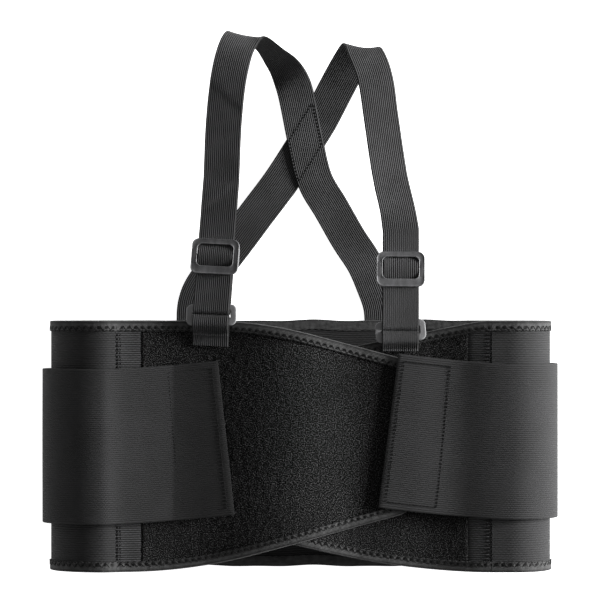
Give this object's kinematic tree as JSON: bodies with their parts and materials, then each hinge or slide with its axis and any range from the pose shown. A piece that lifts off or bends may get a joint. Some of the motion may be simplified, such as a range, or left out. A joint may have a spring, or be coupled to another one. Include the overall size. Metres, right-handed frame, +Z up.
{
  "type": "back brace",
  "caption": "Elastic lower-back brace with two overlapping pile-faced front panels, outer pull bands with hook patches, and crossed adjustable shoulder straps.",
  "frame": {"origin": "bottom centre of the bounding box: the brace lies closed and flat on its back, underside at z = 0", "axes": "+X to the right seen from above, +Y towards the shoulders (top of the belt), +Z up, out of the belt's front"},
  "size_m": [0.4538, 0.4768, 0.087],
  "materials": {
    "body_elastic": "ribbed woven elastic, black",
    "pull_elastic": "finely ribbed woven elastic, black",
    "pile": "brushed loop pile, deep black",
    "hook": "moulded hook tape, black",
    "binding": "woven edge binding, stitched, black",
    "webbing": "lengthwise-ribbed elastic webbing, black",
    "plastic": "satin moulded plastic, charcoal",
    "stay": "smooth strip, grey"
  },
  "bodies": {
    "root": {"back_panel": "body_elastic", "back_binding_top": "binding", "back_binding_bottom": "binding", "stay_1": "stay", "stay_2": "stay", "stay_3": "stay", "stay_4": "stay", "stay_channel_1": "binding", "stay_channel_2": "binding", "stay_channel_3": "binding", "stay_channel_4": "binding", "left_pull_band_rear": "pull_elastic", "right_pull_band_rear": "pull_elastic", "left_strap_back": "webbing", "right_strap_back": "webbing", "left_strap_front": "webbing", "right_strap_front": "webbing"},
    "left_front": {"left_front_base": "body_elastic", "left_front_pile": "pile", "left_front_binding": "binding", "left_front_hook": "hook", "left_tab": "webbing", "left_strap_return": "webbing"},
    "right_front": {"right_front_base": "body_elastic", "right_front_pile": "pile", "right_front_binding": "binding", "right_tab": "webbing", "right_strap_return": "webbing"},
    "left_pull": {"left_pull_band": "pull_elastic", "left_pull_hook": "hook"},
    "right_pull": {"right_pull_band": "pull_elastic", "right_pull_hook": "hook"},
    "left_ring_body": {"left_ring": "plastic"},
    "right_ring_body": {"right_ring": "plastic"},
    "left_slider_body": {"left_slider": "plastic"},
    "right_slider_body": {"right_slider": "plastic"}
  },
  "joints": [
    {"name": "right_pull_open", "type": "hinge", "parent": "root", "child": "right_pull", "pos_m": [0.2272, -0.123, 0.0435], "axis": [0, 1, 0], "range_deg": [0, 160]},
    {"name": "left_front_open", "type": "hinge", "parent": "root", "child": "left_front", "pos_m": [-0.161, -0.1275, 0.085], "axis": [0, -1, 0], "range_deg": [0, 68.8], "deforming": ["left_strap_front"]},
    {"name": "right_front_open", "type": "hinge", "parent": "root", "child": "right_front", "pos_m": [0.167, -0.1275, 0.0812], "axis": [0, 1, 0], "range_deg": [0, 19.2], "deforming": ["right_strap_front"]},
    {"name": "left_pull_open", "type": "hinge", "parent": "left_front", "child": "left_pull", "pos_m": [-0.161, -0.1275, 0.085], "axis": [0, -1, 0], "range_deg": [0, 105]},
    {"name": "left_ring_pivot", "type": "hinge", "parent": "left_front", "child": "left_ring_body", "pos_m": [-0.07748, -0.01948, 0.08093], "axis": [0.9887, -0.0477, 0.142], "range_deg": [-4, 4]},
    {"name": "right_ring_pivot", "type": "hinge", "parent": "right_front", "child": "right_ring_body", "pos_m": [0.08745, -0.0335, 0.07705], "axis": [1, -0.007, -0.0003], "range_deg": [-4, 4]},
    {"name": "left_slider_slide", "type": "slide", "parent": "left_front", "child": "left_slider_body", "axis": [0.072, 0.9825, -0.1719], "range_m": [-0.02, 0.05], "deforming": ["left_strap_return"]},
    {"name": "right_slider_slide", "type": "slide", "parent": "right_front", "child": "right_slider_body", "axis": [0.0068, 0.9848, -0.1737], "range_m": [-0.018, 0.018], "deforming": ["right_strap_return"]}
  ],
  "couplings": [
    {"joint": "left_front_open", "follows": "right_pull_open", "ratio": 0.43},
    {"joint": "right_front_open", "follows": "right_pull_open", "ratio": 0.12}
  ]
}
